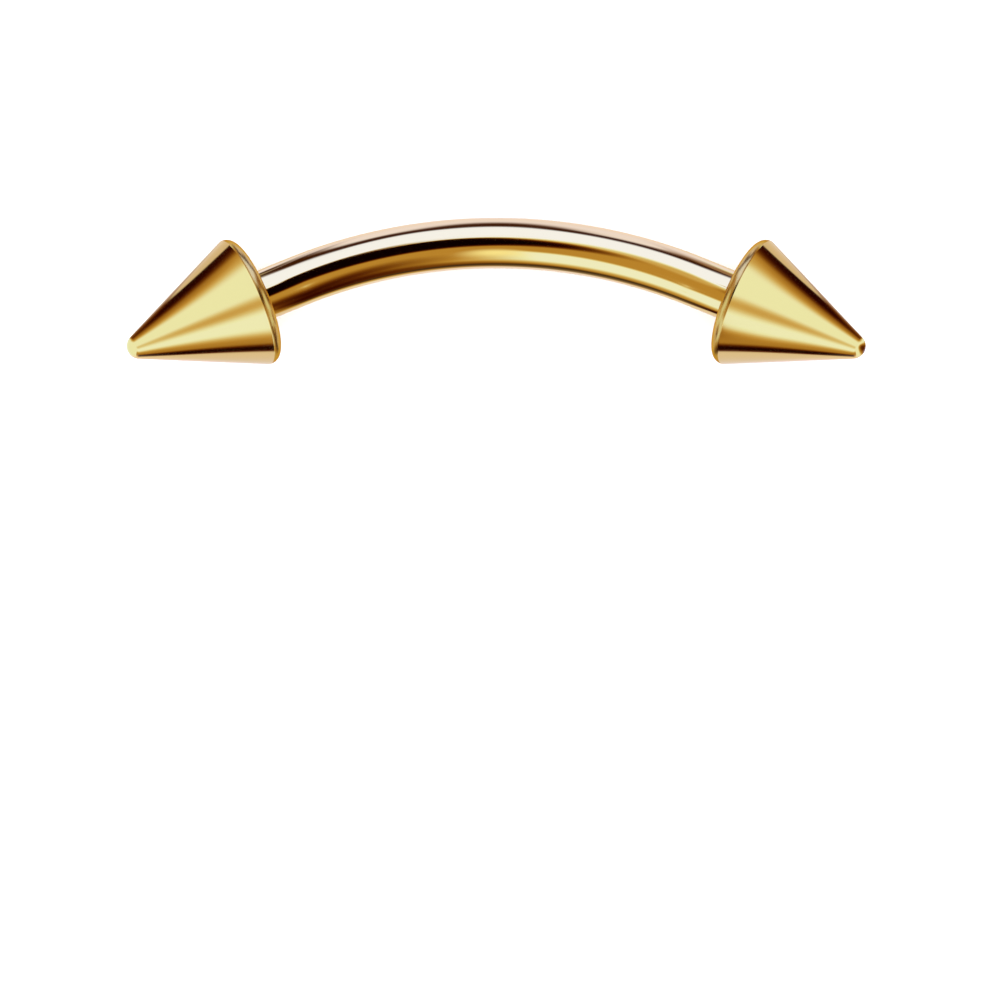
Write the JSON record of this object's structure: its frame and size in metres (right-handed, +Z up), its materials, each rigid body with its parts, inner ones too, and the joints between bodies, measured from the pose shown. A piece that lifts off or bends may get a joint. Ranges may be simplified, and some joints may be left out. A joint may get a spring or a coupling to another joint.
{
  "type": "curved eyebrow barbell",
  "caption": "Bowed body-jewellery bar with a cone screwed onto each end, worn through an eyebrow piercing, in polished gold colour.",
  "frame": {"origin": "below the middle of the whole part, on the table that it rests on with the middle of the bar and the rims of both cones", "axes": "+X from the left cone to the right cone, +Y towards the side that the bar bows to, +Z up from the table"},
  "size_m": [0.0174, 0.0034, 0.0031],
  "materials": {
    "bar_gold": "mirror-polished gold-coloured coating on surgical steel",
    "cone_gold": "mirror-polished gold-coloured coating on surgical steel"
  },
  "bodies": {
    "bar": {"curved_bar": "bar_gold"},
    "left_end": {"left_cone": "cone_gold"},
    "right_end": {"right_cone": "cone_gold"}
  },
  "joints": [
    {"name": "left_unscrew", "type": "slide", "parent": "bar", "child": "left_end", "axis": [-0.8963, -0.3701, 0.2442], "range_m": [0, 0.004]},
    {"name": "right_unscrew", "type": "slide", "parent": "bar", "child": "right_end", "axis": [0.8963, -0.3701, 0.2442], "range_m": [0, 0.004]}
  ]
}
